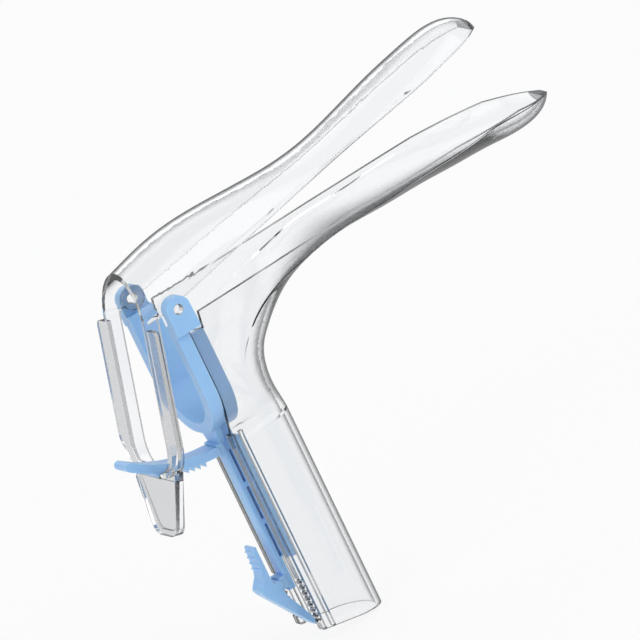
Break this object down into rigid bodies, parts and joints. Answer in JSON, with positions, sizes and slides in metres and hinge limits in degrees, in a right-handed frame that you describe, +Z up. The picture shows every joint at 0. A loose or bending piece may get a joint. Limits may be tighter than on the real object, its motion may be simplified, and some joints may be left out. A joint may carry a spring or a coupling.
{
  "type": "bivalve speculum",
  "caption": "Clear two-bladed vaginal speculum with a trough handle, a hinged upper blade with a thumb lever, and a light-blue sliding yoke with a toothed tongue and latch.",
  "frame": {"origin": "end of the handle, in the middle of its front wall", "axes": "+X forward along the blades, +Y to the left across them, +Z up the handle towards the hinge"},
  "size_m": [0.1785, 0.0408, 0.1481],
  "materials": {
    "clear_plastic": "clear, polished",
    "blue_plastic": "satin, light blue"
  },
  "bodies": {
    "lower_blade": {"lower_blade": "clear_plastic"},
    "yoke": {"yoke": "blue_plastic"},
    "upper_blade": {"upper_blade": "clear_plastic"},
    "tongue": {"ratchet_tongue": "blue_plastic"},
    "latch": {"slide_latch": "blue_plastic"}
  },
  "joints": [
    {"name": "yoke_slide", "type": "slide", "parent": "lower_blade", "child": "yoke", "axis": [0, 0, 1], "range_m": [0, 0.018]},
    {"name": "blade_hinge", "type": "hinge", "parent": "yoke", "child": "upper_blade", "pos_m": [-0.02365, 0, 0.1196], "axis": [0, 1, 0], "range_deg": [-14, 12]},
    {"name": "tongue_lift", "type": "hinge", "parent": "yoke", "child": "tongue", "pos_m": [-0.02725, 0, 0.06883], "axis": [0, 1, 0], "range_deg": [0, 6], "stiffness_Nm_per_rad": 0.5},
    {"name": "latch_press", "type": "hinge", "parent": "yoke", "child": "latch", "pos_m": [-0.02705, 0, 0.0212], "axis": [0, 1, 0], "range_deg": [0, 4], "stiffness_Nm_per_rad": 0.5}
  ]
}
